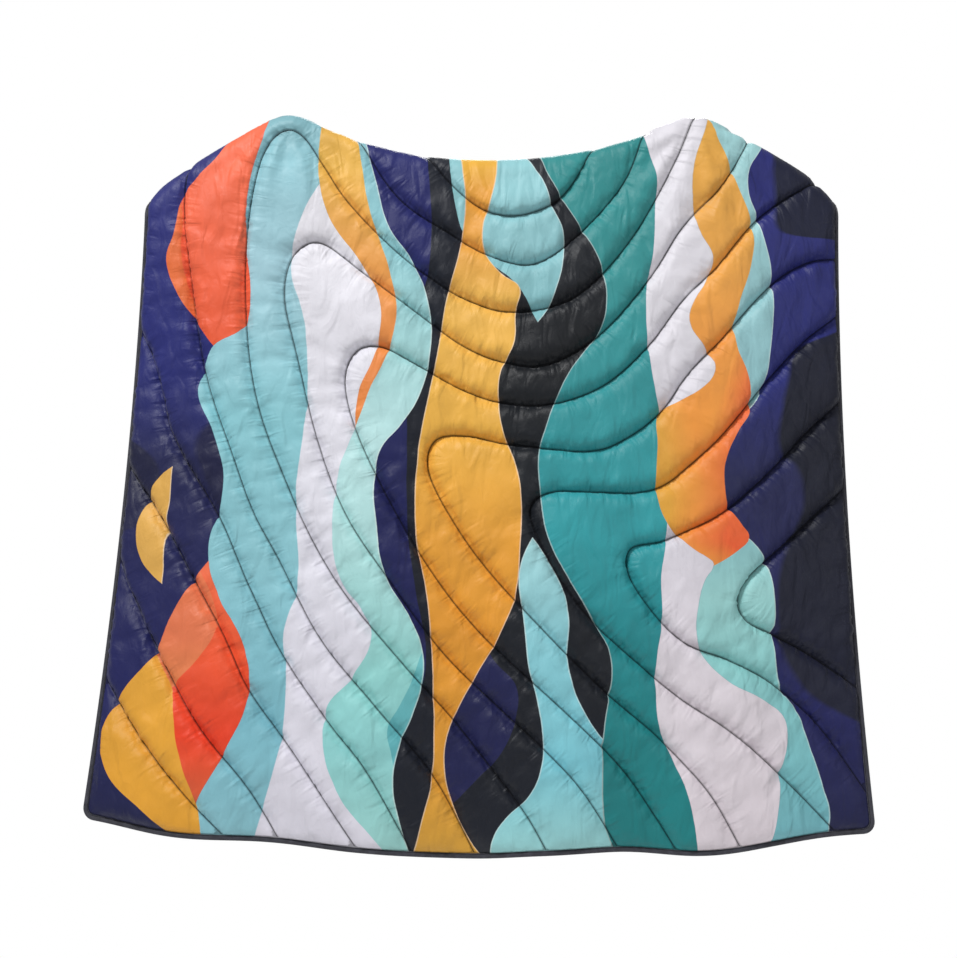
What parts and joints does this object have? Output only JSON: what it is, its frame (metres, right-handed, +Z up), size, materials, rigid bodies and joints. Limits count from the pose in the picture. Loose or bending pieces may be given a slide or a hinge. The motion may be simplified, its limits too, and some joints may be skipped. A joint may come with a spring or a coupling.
{
  "type": "camp blanket",
  "caption": "Puffy quilted camp blanket with a printed satin face in wavy colour bands, curved chevron quilting and a narrow dark edge binding, hung by two grips with its top edge folded back",
  "frame": {"origin": "middle of the straight line between the two grips, on the axis of the fold that runs over them", "axes": "X across the blanket to the viewer's right, -Y the way the printed face looks, +Z up; the bottom hem hangs lowest and a little forward"},
  "size_m": [2.0311, 0.3965, 1.9283],
  "materials": {
    "printed_shell": "satin printed woven polyester",
    "plain_lining": "satin plain woven polyester",
    "polyester_fill": "matte fibre fill",
    "binding_tape": "matte woven tape",
    "dark_thread": "matte spun polyester thread"
  },
  "bodies": {
    "root": {"face_shell": "printed_shell", "batting": "polyester_fill", "back_shell": "plain_lining", "edge_binding": "binding_tape", "binding_stitch_face": "dark_thread", "binding_stitch_back": "dark_thread", "needle_thread_chevron_1": "dark_thread", "needle_thread_chevron_2": "dark_thread", "needle_thread_chevron_3": "dark_thread", "needle_thread_chevron_4": "dark_thread", "needle_thread_chevron_5": "dark_thread", "needle_thread_chevron_6": "dark_thread", "needle_thread_chevron_7": "dark_thread", "needle_thread_swag_1": "dark_thread", "needle_thread_swag_2": "dark_thread", "needle_thread_left_1": "dark_thread", "needle_thread_left_2": "dark_thread", "needle_thread_left_3": "dark_thread", "needle_thread_left_4": "dark_thread", "needle_thread_left_5": "dark_thread", "bobbin_thread_chevron_1": "dark_thread", "bobbin_thread_chevron_2": "dark_thread", "bobbin_thread_chevron_3": "dark_thread", "bobbin_thread_chevron_4": "dark_thread", "bobbin_thread_chevron_5": "dark_thread", "bobbin_thread_chevron_6": "dark_thread", "bobbin_thread_chevron_7": "dark_thread", "bobbin_thread_swag_1": "dark_thread", "bobbin_thread_swag_2": "dark_thread", "bobbin_thread_left_1": "dark_thread", "bobbin_thread_left_2": "dark_thread", "bobbin_thread_left_3": "dark_thread", "bobbin_thread_left_4": "dark_thread", "bobbin_thread_left_5": "dark_thread"}
  },
  "joints": []
}
